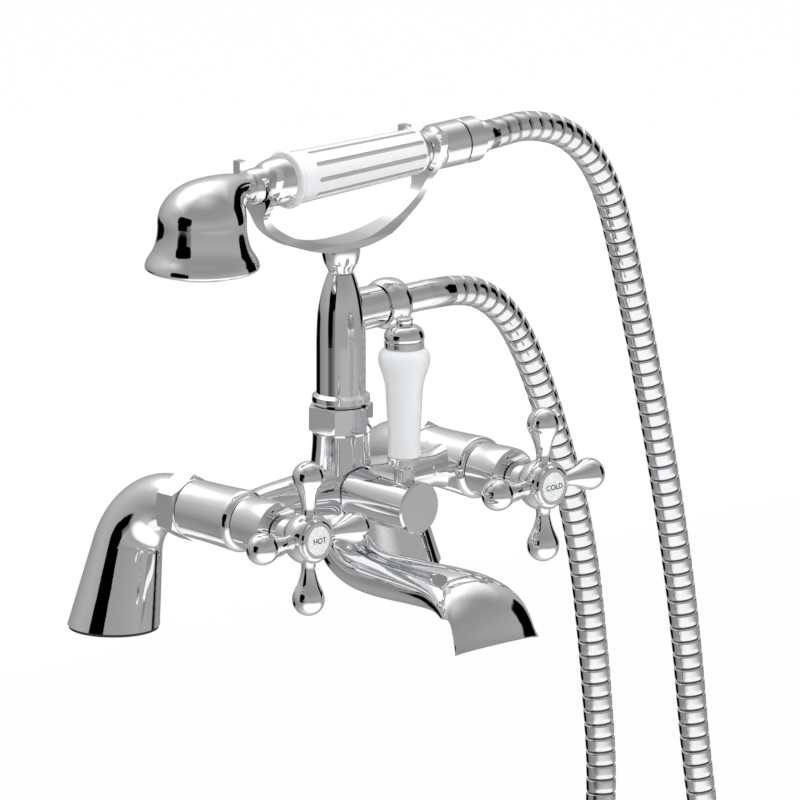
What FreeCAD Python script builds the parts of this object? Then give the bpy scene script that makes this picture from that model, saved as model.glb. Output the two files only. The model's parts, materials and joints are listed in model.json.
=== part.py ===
import FreeCAD
import Part

import math
import os

# Deck-mounted bath and shower mixer with two crosshead valves, a lever diverter and a
# handset in a cradle. Millimetres. The origin is on the deck, midway between the legs:
# +X is towards the cold side, -Y towards the user and +Z up.

Vector = FreeCAD.Vector
LEFT_RIGHT = Vector(1, 0, 0)
FRONT = Vector(0, -1, 0)
BACK = Vector(0, 1, 0)
UP = Vector(0, 0, 1)
DOWN = Vector(0, 0, -1)

# Driving dimensions of the whole tap
inlet_centres = 192.0
valve_centres = 160.0
axis_height = 66.1
sides = (("hot", -1), ("cold", 1))

# Clearances
thread_gap = 0.05
running_gap = 0.1
seat_gap = 0.3

# Legs, their unions and what holds them to the deck
gasket_thickness = 1.5
leg_base_r = 23.1
leg_knee_r = 17.8
leg_top_r = 14.2
leg_bend_r = 27.0
leg_run = 3.0
leg_bore_r = 8.0
leg_cavity_r = 12.6
tail_r = 13.2
tail_bore_r = 9.5
tail_socket = 12.0
tail_length = 56.0
tail_relief_depth = 32.0
tail_relief_length = 2.5
tail_relief_r = 12.2
deck_thickness = 8.0
backnut_flats = 38.0
backnut_thickness = 9.0
backnut_washer_r = 22.0
backnut_washer_thickness = 2.0

# Unions: a stub, a washer, a flange behind a lip, and the nut round them
union_gap = 0.3
union_washer = 1.5
union_flange = 1.8
union_lip = 2.0
union_bore_r = 6.5
leg_nut_length = 12.2
leg_nut_flats = 30.0
leg_nut_turn = 30.0
leg_stub_r = 11.6
leg_neck_r = 9.6
riser_nut_length = 13.0
riser_nut_flats = 29.4
riser_nut_turn = 36.5
riser_stub_r = 11.2
riser_neck_r = 9.4

# Valve housings, measured forward from the back face of the housing
housing_back = 20.7
housing_back_r = 14.8
housing_front_r = 15.8
housing_shoulder = 35.5
housing_length = 39.5
housing_mouth_r = 13.8
valve_bore_r = 10.2
valve_thread_r = 11.4
valve_thread_length = 8.0
seat_depth = 34.0
inlet_bore_r = 6.5
cross_bore_r = 6.0

# Valve insides
seal_thickness = 2.0
seal_r = 8.6
seal_bore_r = 5.6
disc_thickness = 3.0
disc_r = 8.4
disc_port_r = 2.6
disc_port_offset = 4.4
spindle_r = 4.0
spindle_flange = 2.5
cartridge_cap = 3.0
cartridge_cap_r = 11.6
cartridge_nose_r = 7.8
cartridge_nose = 19.5
shroud_length = 22.5
shroud_back_r = 13.5
shroud_r = 13.9
shroud_wall = 1.0
shroud_front_wall = 2.0

# Crosshead handles
hub_centre = 62.3
hub_r = 13.0
hub_front = 5.5
hub_neck_r = 7.8
hub_neck_gap = 0.7
arm_reach = 39.45
arm_ball_r = 8.1
arm_neck_r = 3.5
arm_count = 4
index_ring_r = 10.5
index_ring_front = 7.6
index_disc_r = 7.4
index_disc_front = 8.4
index_recess_r = 6.5
index_recess = 6.5
handle_screw_r = 1.9
handle_screw_head_r = 4.0
handle_screw_head = 3.0
handle_screw_length = 10.5
handle_web = 2.5

# Middle of the body, as far in front of the feet as the bends and housings need
body_y = -leg_bend_r - leg_run - 2 * union_gap - leg_nut_length - housing_back
body_ball_r = 16.4
body_drop = 16.8
body_rise = 30.5
body_bottom = axis_height - body_drop
body_top = axis_height + body_rise
body_neck_r = 14.2
body_bore_r = 7.0
boss_r = 12.0
boss_length = 12.0

# Spout, from the body down and forward: its mouth ends in a wide thin visor
spout_top_r = 13.2
spout_wall = 2.6
spigot_r = 9.0
spigot_length = 7.5
spout_seal_r = 11.4
spout_seal_thickness = 2.0
mouth_half_width = 28.2
spout_reach = 113.8
pipe_drop = 21.0
lip_drop = 42.8

# Diverter
diverter_height = 0.5
knob_r = 13.2
knob_front = 57.8
knob_back = 12.3
knob_recess_gap = 0.6
knob_bore_r = 10.0
knob_bore = 23.0
bush_r = 9.15
bush_depth = 5.7
bush_nose_r = 8.2
bush_nose = 10.0
spool_r = 6.9
spool_back = 7.0
spool_front = 6.0
diverter_seal_r = 5.9
diverter_seal_length = 2.0
lever_forward = 46.3
lever_shank_r = 3.4
lever_stem_r = 5.25
lever_seat = 12.0
lever_collar = 21.0
lever_collar_r = 8.5
lever_collar_length = 4.0
lever_rod_r = 3.0
lever_grip_length = 55.7
lever_bulge_r = 12.95
lever_cap_r = 10.0
lever_cap_ring = 3.9
lever_dome = 7.7
lever_finial_r = 4.5
lever_finial = 4.0

# Riser column and the shower outlet on it
column_length = 67.1
column_bead_r = 14.5
column_r = 12.35
column_tip_r = 6.5
column_bore_r = 6.5
column_foot = body_top + riser_nut_length + 2 * union_gap
column_top = column_foot + column_length
outlet_drop = 21.0
outlet_height = column_top - outlet_drop
arm_r = 10.7
arm_length = 24.0
outlet_bore_r = 5.8
outlet_stub_r = 8.5
outlet_stub = 9.0
outlet_nut_r = 12.8
outlet_nut_length = 16.0
outlet_nut_gap = 1.0
outlet_washer_thickness = 1.4
ferrule_flange_r = 8.4
ferrule_flange = 2.2
ferrule_r = 7.45
check_valve_length = 13.0

# Cradle
cup_height = 12.8
cradle_bottom = column_top + cup_height
cradle_depth = 41.2
strap_thickness = 4.1
strap_width = 15.4
strap_neck_width = 7.7
prong_reach = 56.1
prong_thickness = 4.4
prong_gap = 22.3
prong_width = 4.8
prong_rise = 10.4
cup_r = 9.6
cup_foot_r = 5.9
stud_r = 3.0
stud_below = 12.0

# Handset, level over the cradle, measured along X
handset_height = cradle_bottom + cradle_depth
neck_end = -63.0
neck_r = 7.6
collar_seat_r = 9.3
collar_end_r = 12.3
grip_start = -38.6
grip_end = 49.2
grip_flange_r = 14.7
grip_big_r = 13.3
grip_small_r = 11.6
grip_grooves = 10
groove_r = 1.25
groove_start = -25.0
groove_margin = 2.5
tube_r = 5.0
tube_bore_r = 3.8
tube_in_neck = 4.2
fitting_waist = 55.5
fitting_waist_end = 61.0
fitting_shoulder = 63.3
fitting_end = 79.0
fitting_r = 11.5
fitting_thread_r = 8.6
fitting_thread = 7.0
hose_nut_gap = 0.9
hose_nut_end = 92.0
hose_nut_chamfer = 2.2
collar_flange_r = 8.3
collar_neck_r = 7.3

# Head of the handset
head_x = -94.0
head_barrel_r = 22.4
rim_r = 28.6
head_drop = 36.0
rim_height = handset_height - head_drop
head_wall = 2.4
crotch_inset = 4.5
crotch_r = 4.2
elbow_r = 7.9
flare_height = 19.0
rose_r = 26.0
rose_thickness = 2.4
rose_dome = 3.2
rose_rings = ((8.0, 8), (13.5, 14), (19.0, 20))
rose_hole_r = 0.7
rose_screw_r = 3.4
rose_screw_head = 1.8
rose_shank_r = 1.8
rose_post_r = 4.2
rose_post_gap = 8.0
rose_post_bottom = rim_height + rose_post_gap

# Hose: its route in X and Z, in the plane of the column, chosen by hand
hose_r = 7.5
hose_groove_r = 6.6
hose_bore_r = 4.6
hose_lower_cuff = 17.0
hose_upper_cuff = 7.0
hose_ribs = 200
hose_route = [
    (56.0, 156.3), (82.0, 156.3), (105.5, 145.3), (122.3, 125.3), (139.8, 89.3),
    (164.3, 18.3), (174.5, -52.7), (181.5, -132.7), (163.0, -218.7), (142.5, -299.7),
    (126.5, -360.7), (145.5, -409.7), (188.5, -439.7), (240.5, -439.7), (283.5, -409.7),
    (302.0, -360.7), (286.5, -299.7), (266.0, -218.7), (246.5, -132.7), (236.0, -32.7),
    (214.5, 73.3), (194.5, 153.3), (181.5, 195.3), (159.0, 222.3), (128.0, 232.8),
    (104.0, 231.3), (96.0, 231.3),
]
hose_end_gap = 0.3


def edge_through(points):
    """A line through two points, an arc through three, or a smooth curve through more."""
    if len(points) == 2:
        return Part.LineSegment(*points).toShape()
    if len(points) == 3:
        return Part.Arc(*points).toShape()
    curve = Part.BSplineCurve()
    curve.interpolate(points)
    return curve.toShape()


def turned(base, axis, *stretches):
    """Solid of revolution about an axis: each stretch lists (distance along it, radius)."""
    edges = [edge_through([Vector(r, 0, t) for t, r in points]) for points in stretches]
    start, end = stretches[0][0], stretches[-1][-1]
    corners = [Vector(end[1], 0, end[0]), Vector(0, 0, end[0]), Vector(0, 0, start[0]),
               Vector(start[1], 0, start[0])]
    for a, b in zip(corners, corners[1:]):
        if (b - a).Length > 1e-6:
            edges.append(Part.LineSegment(a, b).toShape())
    face = Part.Face(Part.Wire(Part.__sortEdges__(edges)))
    solid = face.revolve(Vector(0, 0, 0), UP, 360)
    solid.Placement = FreeCAD.Placement(base, FreeCAD.Rotation(UP, axis))
    return solid


def stepped(base, axis, *steps):
    """Turned solid whose steps are (start, end, radius) or (start, end, radius, end radius)."""
    stretches = []
    for start, end, r, *last in steps:
        if stretches and stretches[-1][-1] != (start, r):
            stretches.append([stretches[-1][-1], (start, r)])
        stretches.append([(start, r), (end, last[0] if last else r)])
    return turned(base, axis, *stretches)


def rod(base, axis, start, end, radius):
    """Cylinder between two distances along an axis."""
    return Part.makeCylinder(radius, end - start, base + axis * start, axis)


def tube(base, axis, start, end, outer, inner):
    """Ring or pipe between two distances along an axis."""
    return rod(base, axis, start, end, outer).cut(rod(base, axis, start, end, inner))


def hexagon(base, axis, start, end, flats, chamfer, turn=0.0):
    """Hexagonal nut blank, turned on its axis, with its corners chamfered at both ends."""
    corner_r = flats / math.sqrt(3)
    points = []
    for i in range(7):
        angle = math.radians(60 * i + turn)
        points.append(Vector(corner_r * math.cos(angle), corner_r * math.sin(angle), start))
    blank = Part.Face(Part.makePolygon(points)).extrude(UP * (end - start))
    blank.Placement = FreeCAD.Placement(base, FreeCAD.Rotation(UP, axis))
    barrel = turned(
        base, axis,
        [(start, corner_r - 2 * chamfer), (start + chamfer, corner_r)],
        [(start + chamfer, corner_r), (end - chamfer, corner_r)],
        [(end - chamfer, corner_r), (end, corner_r - 2 * chamfer)],
    )
    return blank.common(barrel)


def ring_at(place, direction, steady, half_width, half_height):
    """Ellipse round a point, square to a direction, its width along the steady axis."""
    if abs(half_width - half_height) < 1e-6:
        curve = Part.Circle(Vector(0, 0, 0), UP, half_width)
    elif half_width > half_height:
        curve = Part.Ellipse(Vector(0, 0, 0), half_width, half_height)
    else:
        raise ValueError("a section is at least as wide as it is high")
    wire = Part.Wire(curve.toShape())
    other = direction.cross(steady)
    turn = FreeCAD.Rotation(steady, other, direction, "ZXY")
    wire.Placement = FreeCAD.Placement(place, turn)
    return wire


def skinned(rings):
    """Solid through circles (centre, way across, other way across, radius), flat at its ends."""
    square = [(1, 0), (1, 1), (0, 1), (-1, 1), (-1, 0), (-1, -1), (0, -1), (1, -1), (1, 0)]
    steps = [0.0]
    for (a, _, _, _), (b, _, _, _) in zip(rings, rings[1:]):
        steps.append(steps[-1] + (b - a).Length)
    rows = []
    for u, v in square:
        points = [centre + (across * u + other * v) * radius for centre, across, other, radius in rings]
        curve = Part.BSplineCurve()
        curve.interpolate(Points=points, Parameters=steps)
        rows.append(curve.getPoles())
    weights = [[1.0 if u * v == 0 else math.sqrt(0.5)] * len(rows[0]) for u, v in square]
    surface = Part.BSplineSurface()
    surface.buildFromPolesMultsKnots(
        rows, [3, 2, 2, 2, 3], curve.getMultiplicities(), [0, 1, 2, 3, 4], curve.getKnots(),
        False, False, 2, curve.Degree, weights,
    )
    faces = [surface.toShape()]
    for centre, across, other, radius in (rings[0], rings[-1]):
        circle = Part.Circle(centre, across.cross(other), radius)
        circle.XAxis = across
        faces.append(Part.Face(Part.Wire(circle.toShape())))
    shell = Part.makeShell(faces)
    shell.sewShape()
    return Part.makeSolid(Part.Shell(shell.Faces))


def fused(first, *others):
    """One solid of several that overlap."""
    return first.fuse(list(others)).removeSplitter()


def union_pieces(base, axis, stub_r, neck_r, nut_length, flats, turn):
    """Stub, washer, flanged neck and nut of a union that starts at a face of the body."""
    end = union_gap + nut_length
    lip = end - union_lip
    flange = lip - union_flange
    washer = flange - union_washer
    bore = rod(base, axis, -1, end + 1, union_bore_r)
    stub = rod(base, axis, 0, washer, stub_r).cut(bore)
    ring = tube(base, axis, washer, flange, stub_r - 0.3, union_bore_r)
    neck = fused(
        rod(base, axis, flange, lip, stub_r - 0.3),
        rod(base, axis, lip, end + union_gap, neck_r),
    ).cut(bore)
    nut = hexagon(base, axis, union_gap, end, flats, 0.9, turn).cut(
        rod(base, axis, union_gap - 1, lip, stub_r + thread_gap)
    ).cut(rod(base, axis, lip - 1, end + 1, neck_r + thread_gap))
    return stub, ring, neck, nut


def valve_axis(sign):
    """Point on a valve's axis in the plane of the housing's back face."""
    return Vector(sign * valve_centres / 2, body_y + housing_back, axis_height)


def leg_union(sign):
    base = valve_axis(sign)
    return union_pieces(base, BACK, leg_stub_r, leg_neck_r, leg_nut_length, leg_nut_flats, leg_nut_turn)


def riser_union():
    base = Vector(0, body_y, body_top)
    return union_pieces(
        base, UP, riser_stub_r, riser_neck_r, riser_nut_length, riser_nut_flats, riser_nut_turn
    )


def leg_place(sign, angle):
    """Centre and direction of a leg at an angle round its bend; it splays from valve to foot."""
    turn = math.radians(angle)
    y = -leg_bend_r * (1 - math.sin(turn))
    z = axis_height - leg_bend_r * (1 - math.cos(turn))
    splay = (inlet_centres - valve_centres) / 2
    slope = splay / (axis_height - gasket_thickness)
    x = sign * (valve_centres / 2 + slope * (axis_height - z))
    direction = Vector(sign * slope * math.sin(turn), math.cos(turn), -math.sin(turn))
    return Vector(x, y, z), direction.normalize()


def leg_shell(sign, start_r, knee_r, foot_r, foot):
    """Straight run, bend and cone to the foot, with the radii given along them."""
    top = valve_axis(sign)
    start = Vector(top.x, top.y + leg_nut_length + 2 * union_gap, axis_height)
    rings = [ring_at(start, BACK, LEFT_RIGHT, start_r, start_r)]
    for angle in (0, 15, 30, 45, 60, 75, 90):
        place, direction = leg_place(sign, angle)
        steady = (LEFT_RIGHT - direction * LEFT_RIGHT.dot(direction)).normalize()
        radius = start_r + (knee_r - start_r) * (angle / 90) ** 1.5
        rings.append(ring_at(place, direction, steady, radius, radius))
    run = Part.makeLoft(rings[:2], True, True)
    bend = Part.makeLoft(rings[1:], True)
    base = ring_at(Vector(sign * inlet_centres / 2, 0, foot), DOWN, LEFT_RIGHT, foot_r, foot_r)
    cone = Part.makeLoft([rings[-1], base], True, True)
    return run.fuse([bend, cone])


def leg(sign):
    """Hollow elbow that widens to its foot, with the flanged neck of its union."""
    _, _, neck, _ = leg_union(sign)
    foot = Vector(sign * inlet_centres / 2, 0, gasket_thickness)
    body = leg_shell(sign, leg_top_r, leg_knee_r, leg_base_r, gasket_thickness)
    hollow = leg_shell(sign, leg_bore_r, leg_cavity_r, leg_cavity_r, gasket_thickness)
    body = body.cut(hollow).cut(rod(foot, UP, -1, tail_socket, tail_r + thread_gap))
    return body.fuse(neck)


def inlet_tail(sign):
    """Threaded tail: a groove parts the stretch for the backnut from the one for the pipe."""
    foot = Vector(sign * inlet_centres / 2, 0, 0)
    relief = tail_relief_depth
    blank = stepped(
        foot, DOWN,
        (-gasket_thickness - tail_socket + 0.5, relief, tail_r),
        (relief, relief + tail_relief_length, tail_relief_r),
        (relief + tail_relief_length, tail_length - 1, tail_r),
        (tail_length - 1, tail_length, tail_r, tail_r - 1),
    )
    return blank.cut(rod(foot, DOWN, -tail_socket - 3, tail_length + 1, tail_bore_r))


def backnut(sign):
    foot = Vector(sign * inlet_centres / 2, 0, 0)
    start = deck_thickness + backnut_washer_thickness
    end = start + backnut_thickness
    blank = hexagon(foot, DOWN, start, end, backnut_flats, 1.2)
    return blank.cut(rod(foot, DOWN, start - 1, end + 1, tail_r + thread_gap))


def both_sides(make):
    """The same piece on the hot and the cold side, as one group of solids."""
    return Part.makeCompound([make(sign) for _, sign in sides])


def base_gasket(sign):
    foot = Vector(sign * inlet_centres / 2, 0, 0)
    return tube(foot, UP, 0, gasket_thickness, leg_base_r - 0.6, tail_r + thread_gap)


def backnut_washer(sign):
    foot = Vector(sign * inlet_centres / 2, 0, 0)
    end = deck_thickness + backnut_washer_thickness
    return tube(foot, DOWN, deck_thickness, end, backnut_washer_r, tail_r + running_gap)


def mixer_body():
    """Casting: two valve housings on a waisted bar; its middle swells and is faced flat for the knob."""
    middle = Vector(0, body_y, axis_height)
    half = valve_centres / 2
    bar = [(-half, 12.6), (-half + 6, 12.3), (-half + 12, 10.6), (-half + 18, 9.5), (-half + 28, 10.1),
           (-half + 46, 11.6), (-20, 13.0), (-10, 14.6), (0, 15.2)]
    bar += [(-x, r) for x, r in reversed(bar[:-1])]
    pieces = [turned(middle, LEFT_RIGHT, bar)]
    column = Vector(0, body_y, 0)
    pieces.append(turned(
        column, UP,
        [(body_bottom, spout_top_r), (body_bottom + 5, 14.8), (axis_height - 6, body_ball_r - 0.3),
         (axis_height, body_ball_r), (axis_height + 8, body_ball_r - 0.7),
         (axis_height + 15, 15.0), (body_top - 3.7, body_neck_r), (body_top - 1, body_neck_r)],
        [(body_top - 1, body_neck_r), (body_top, body_neck_r - 0.8)],
    ))
    diverter = Vector(0, body_y, axis_height + diverter_height)
    pieces.append(rod(diverter, FRONT, 0, boss_length, boss_r))
    stub, _, _, _ = riser_union()
    pieces.append(stub)
    for _, sign in sides:
        back = valve_axis(sign)
        pieces.append(turned(
            back, FRONT,
            [(0, housing_back_r - 0.8), (0.8, housing_back_r)],
            [(0.8, housing_back_r), (12, housing_back_r + 0.1), (25, housing_back_r + 0.5),
             (housing_shoulder, housing_front_r)],
            [(housing_shoulder, housing_front_r), (housing_length - 1.2, housing_front_r - 1.0),
             (housing_length, housing_mouth_r)],
        ))
        pieces.append(leg_union(sign)[0])
    body = fused(*pieces)
    for _, sign in sides:
        back = valve_axis(sign)
        mouth = housing_length
        body = body.cut(rod(back, FRONT, seat_depth - 26, mouth + 1, inlet_bore_r - 1e-3))
        body = body.cut(rod(back, FRONT, -leg_nut_length, seat_depth - 25, inlet_bore_r))
        body = body.cut(rod(back, FRONT, seat_depth - 26, mouth + 1, valve_bore_r))
        body = body.cut(rod(back, FRONT, mouth - valve_thread_length, mouth + 1, valve_thread_r + thread_gap))
    body = body.cut(rod(middle, LEFT_RIGHT, -half, half, cross_bore_r))
    body = body.cut(rod(column, UP, body_bottom - 1, body_top + riser_nut_length, body_bore_r - 0.5))
    body = body.cut(rod(column, UP, body_bottom - 1, body_bottom + spigot_length + 0.5, spigot_r + thread_gap))
    body = body.cut(rod(column, UP, body_bottom - 1, body_bottom + spout_seal_thickness, spout_seal_r + thread_gap))
    body = body.cut(rod(diverter, FRONT, -spool_back - 1, boss_length + 1, spool_r + running_gap))
    body = body.cut(rod(diverter, FRONT, boss_length - bush_depth, boss_length + 1, bush_r + thread_gap))
    return body.cut(rod(diverter, FRONT, boss_length, knob_front, knob_r + knob_recess_gap))


def spout_sections():
    """Centre, fall below level, half width and half height of sections along the spout."""
    reach = spout_reach
    level = body_bottom - pipe_drop
    front, lip = body_y - reach, body_bottom - lip_drop
    return [
        ((body_y, body_bottom), 90, spout_top_r, spout_top_r),
        ((body_y - 0.6, body_bottom - 5.5), 82, spout_top_r, 13.1),
        ((body_y - 0.04 * reach, body_bottom - 13.2), 52, spout_top_r, 12.9),
        ((body_y - 0.123 * reach, level + 2.0), 24, 13.1, 12.2),
        ((body_y - 0.25 * reach, level - 0.4), 4, 13.2, 11.5),
        ((body_y - 0.42 * reach, level - 0.2), -2, 14.8, 11.1),
        ((body_y - 0.57 * reach, level + 0.3), -2, 17.0, 10.8),
        ((body_y - 0.70 * reach, level + 0.5), 3, 19.6, 10.7),
        ((body_y - 0.80 * reach, level - 0.6), 15, 22.6, 10.6),
        ((body_y - 0.88 * reach, level - 3.9), 33, 25.3, 9.7),
        ((body_y - 0.937 * reach, level - 9.8), 50, 26.9, 8.3),
        ((front + 3.2, lip + 5.7), 60, mouth_half_width - 0.9, 6.8),
        ((front, lip), 60, mouth_half_width, 6.0),
    ]


def spout_loft(inset):
    rings = []
    for (y, z), fall, half_width, half_height in spout_sections():
        angle = math.radians(fall)
        direction = Vector(0, -math.cos(angle), -math.sin(angle))
        rings.append(
            ring_at(Vector(0, y, z), direction, LEFT_RIGHT, half_width - inset, half_height - inset - 0.01)
        )
    return Part.makeLoft(rings, True)


def spout():
    """Hollow spout that flattens into a visor; an arched cut under it opens the mouth."""
    outer = spout_loft(0.0)
    column = Vector(0, body_y, 0)
    front, lip = body_y - spout_reach, body_bottom - lip_drop
    side = mouth_half_width + 10
    arch = [(front + 25, lip + 2), (front + 20.5, lip + 11), (front + 14, lip + 16.3),
            (front + 8.5, lip + 16.2), (front + 4.4, lip + 11), (front + 1.8, lip + 4.5),
            (front - 0.4, lip - 3)]
    floor = lip - 16
    edges = [edge_through([Vector(-side, y, z) for y, z in arch])]
    corners = [arch[-1], (front - 0.4, floor), (front + 25, floor), arch[0]]
    for (y1, z1), (y2, z2) in zip(corners, corners[1:]):
        edges.append(Part.LineSegment(Vector(-side, y1, z1), Vector(-side, y2, z2)).toShape())
    opening = Part.Face(Part.Wire(edges)).extrude(Vector(2 * side, 0, 0))
    under_collar = body_bottom - spout_wall
    top = body_bottom + spigot_length
    channel = spout_loft(spout_wall).cut(rod(column, UP, under_collar, top, spout_top_r + 5))
    shell = outer.cut(channel).cut(opening).fuse(rod(column, UP, body_bottom - 1, top, spigot_r))
    return shell.cut(rod(column, UP, under_collar - 1, top + 1, union_bore_r))


def spout_seal():
    column = Vector(0, body_y, 0)
    end = body_bottom + spout_seal_thickness
    return tube(column, UP, body_bottom, end - running_gap, spout_seal_r - 0.05, spigot_r + thread_gap)


def kidney_ports(base, start, end, angle):
    """Two round ports opposite each other through a valve disc."""
    ports = []
    for turn in (angle, angle + 180):
        offset = Vector(math.cos(math.radians(turn)), 0, math.sin(math.radians(turn))) * disc_port_offset
        ports.append(rod(base + offset, FRONT, start - 1, end + 1, disc_port_r))
    return ports


def valve_places():
    """Distances forward from the housing's back of the seal, the discs and the spindle's flange."""
    seal = seat_depth - 25.0
    fixed = seal + seal_thickness
    turning = fixed + disc_thickness
    flange = turning + running_gap + disc_thickness
    return seal, fixed, turning, flange


def seat_seal(sign):
    seal, fixed, _, _ = valve_places()
    return tube(valve_axis(sign), FRONT, seal, fixed, seal_r, seal_bore_r)


def fixed_disc(sign):
    _, fixed, turning, _ = valve_places()
    base = valve_axis(sign)
    return rod(base, FRONT, fixed, turning, disc_r).cut(kidney_ports(base, fixed, turning, 90))


def turning_disc(sign):
    _, _, turning, flange = valve_places()
    base = valve_axis(sign)
    start = turning + running_gap
    return rod(base, FRONT, start, flange, disc_r - seat_gap).cut(kidney_ports(base, start, flange, 0))


def spindle(sign):
    """Valve spindle: a flange that drives the turning disc and a stem out to the handle."""
    _, _, _, flange = valve_places()
    base = valve_axis(sign)
    blank = stepped(
        base, FRONT,
        (flange, flange + spindle_flange, disc_r - seat_gap),
        (flange + spindle_flange, hub_seat(), spindle_r),
    )
    hole_start = hub_seat() + handle_web - handle_screw_length
    return blank.cut(rod(base, FRONT, hole_start - 1, hub_seat() + 1, handle_screw_r + thread_gap))


def hub_middle():
    """Distance forward from the housing's back to the middle of the handle's hub."""
    return hub_centre + housing_back


def hub_seat():
    """Distance forward to the web in the hub that the spindle butts against."""
    return hub_middle() + hub_front - index_recess - handle_web


def cartridge(sign):
    """Brass cartridge: a windowed cage round the discs, a threaded waist, a cap and a nose."""
    seal, fixed, _, flange = valve_places()
    base = valve_axis(sign)
    cap = housing_length
    thread = cap - valve_thread_length
    nose = cap + cartridge_cap + cartridge_nose
    blank = stepped(
        base, FRONT,
        (fixed, thread, valve_bore_r - 0.2),
        (thread, cap, valve_thread_r),
        (cap, cap + cartridge_cap, cartridge_cap_r),
        (cap + cartridge_cap, nose, cartridge_nose_r),
    )
    inside = flange + spindle_flange + seat_gap
    blank = blank.cut(rod(base, FRONT, fixed - 1, inside, disc_r + running_gap))
    blank = blank.cut(rod(base, FRONT, inside - 1, nose + 1, spindle_r + running_gap))
    window = Part.makeBox(6, 7, 40, Vector(base.x - 3, body_y - 3.5, axis_height - 20))
    side_window = Part.makeBox(40, 7, 6, Vector(base.x - 20, body_y - 3.5, axis_height - 3))
    inner = rod(base, FRONT, fixed, thread, spindle_r + 1.6)
    return blank.cut(window.cut(inner)).cut(side_window.cut(inner))


def shroud(sign):
    """Chrome sleeve over the cartridge, closed in front but for the nose."""
    base = valve_axis(sign)
    start = housing_length + seat_gap
    end = start + shroud_length
    outer = turned(
        base, FRONT,
        [(start, shroud_back_r - 0.5), (start + 0.5, shroud_back_r)],
        [(start + 0.5, shroud_back_r), (start + 4, shroud_r - 0.3), (start + 9, shroud_r),
         (end - 1.6, shroud_r)],
        [(end - 1.6, shroud_r), (end, shroud_r - 1.6)],
    )
    hollow = rod(base, FRONT, start - 1, end - shroud_front_wall, shroud_back_r - shroud_wall)
    return outer.cut(hollow).cut(rod(base, FRONT, start, end + 1, cartridge_nose_r + thread_gap))


def handle_arm(middle, direction):
    """Arm that swells from a thin neck to a ball."""
    ball = arm_reach - arm_ball_r
    side = arm_ball_r * math.sqrt(0.5)
    return turned(
        middle, direction,
        [(0, arm_neck_r + 1.2), (hub_r - 4, arm_neck_r + 1.2)],
        [(hub_r - 4, arm_neck_r + 1.2), (hub_r, arm_neck_r + 0.15), (hub_r + 2.4, arm_neck_r),
         (hub_r + 6, arm_neck_r + 0.6), (ball - 7.5, arm_ball_r - 2.4), (ball - 4, arm_ball_r - 0.75),
         (ball, arm_ball_r)],
        [(ball, arm_ball_r), (ball + side, side), (arm_reach, 0)],
    )


def crosshead(sign):
    """Handle: a hub with a neck over the cartridge's nose and four arms."""
    base = valve_axis(sign)
    centre = hub_middle()
    neck = housing_length + seat_gap + shroud_length + hub_neck_gap
    front = centre + hub_front
    rear = centre - math.sqrt(hub_r ** 2 - (hub_neck_r + 1) ** 2)
    front_r = math.sqrt(hub_r ** 2 - hub_front ** 2)
    hub = turned(
        base, FRONT,
        [(neck, hub_neck_r - 0.4), (neck + 0.4, hub_neck_r)],
        [(neck + 0.4, hub_neck_r), (rear - 1.5, hub_neck_r)],
        [(rear - 1.5, hub_neck_r), (rear, hub_neck_r + 1)],
        [(rear, hub_neck_r + 1), (centre, hub_r), (front, front_r)],
    )
    middle = base + FRONT * centre
    arms = []
    for i in range(arm_count):
        angle = math.radians(360 * i / arm_count)
        arms.append(handle_arm(middle, Vector(math.sin(angle), 0, math.cos(angle))))
    handle = fused(hub, *arms)
    seat = hub_seat()
    handle = handle.cut(rod(base, FRONT, neck - 1, seat, spindle_r + thread_gap))
    nose_end = housing_length + cartridge_cap + cartridge_nose
    if nose_end + seat_gap > neck:
        handle = handle.cut(rod(base, FRONT, neck - 1, nose_end + seat_gap, cartridge_nose_r + seat_gap))
    handle = handle.cut(rod(base, FRONT, seat - 1, front + 1, handle_screw_r + running_gap))
    return handle.cut(rod(base, FRONT, front - index_recess, front + 1, index_recess_r))


def handle_screw(sign):
    """Screw that clamps the handle on its spindle, under the index."""
    base = valve_axis(sign)
    seat = hub_middle() + hub_front - index_recess
    blank = stepped(
        base, FRONT,
        (seat - handle_screw_length, seat, handle_screw_r),
        (seat, seat + handle_screw_head, handle_screw_head_r),
    )
    return blank.cut(rod(base, FRONT, seat + 1.2, seat + 4, 1.6))


def index_ring(sign):
    """Chrome bezel that holds the index disc in the hub."""
    base = valve_axis(sign)
    centre = hub_middle()
    front = centre + hub_front
    outer = turned(
        base, FRONT,
        [(front - 2.8, index_recess_r - thread_gap), (front, index_recess_r - thread_gap)],
        [(front, index_recess_r - thread_gap), (front, index_ring_r - 0.4)],
        [(front, index_ring_r - 0.4), (front + 0.5, index_ring_r)],
        [(front + 0.5, index_ring_r), (centre + index_ring_front - 0.5, index_ring_r - 0.5)],
        [(centre + index_ring_front - 0.5, index_ring_r - 0.5), (centre + index_ring_front, index_ring_r - 1.4)],
    )
    outer = outer.cut(rod(base, FRONT, front - 3, front + 9, index_recess_r - 1.4))
    return outer.cut(rod(base, FRONT, front + 0.6, front + 9, index_disc_r + thread_gap))


def index_disc(sign):
    """Ceramic index, slightly domed."""
    base = valve_axis(sign)
    centre = hub_middle()
    start = centre + hub_front + 0.6
    face = centre + index_disc_front
    return turned(
        base, FRONT,
        [(start, index_disc_r), (face - 0.8, index_disc_r)],
        [(face - 0.8, index_disc_r), (face - 0.35, index_disc_r - 0.5), (face - 0.15, index_disc_r - 1.4),
         (face - 0.04, index_disc_r / 2), (face, 0)],
    )


def diverter_axis():
    return Vector(0, body_y, axis_height + diverter_height)


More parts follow.
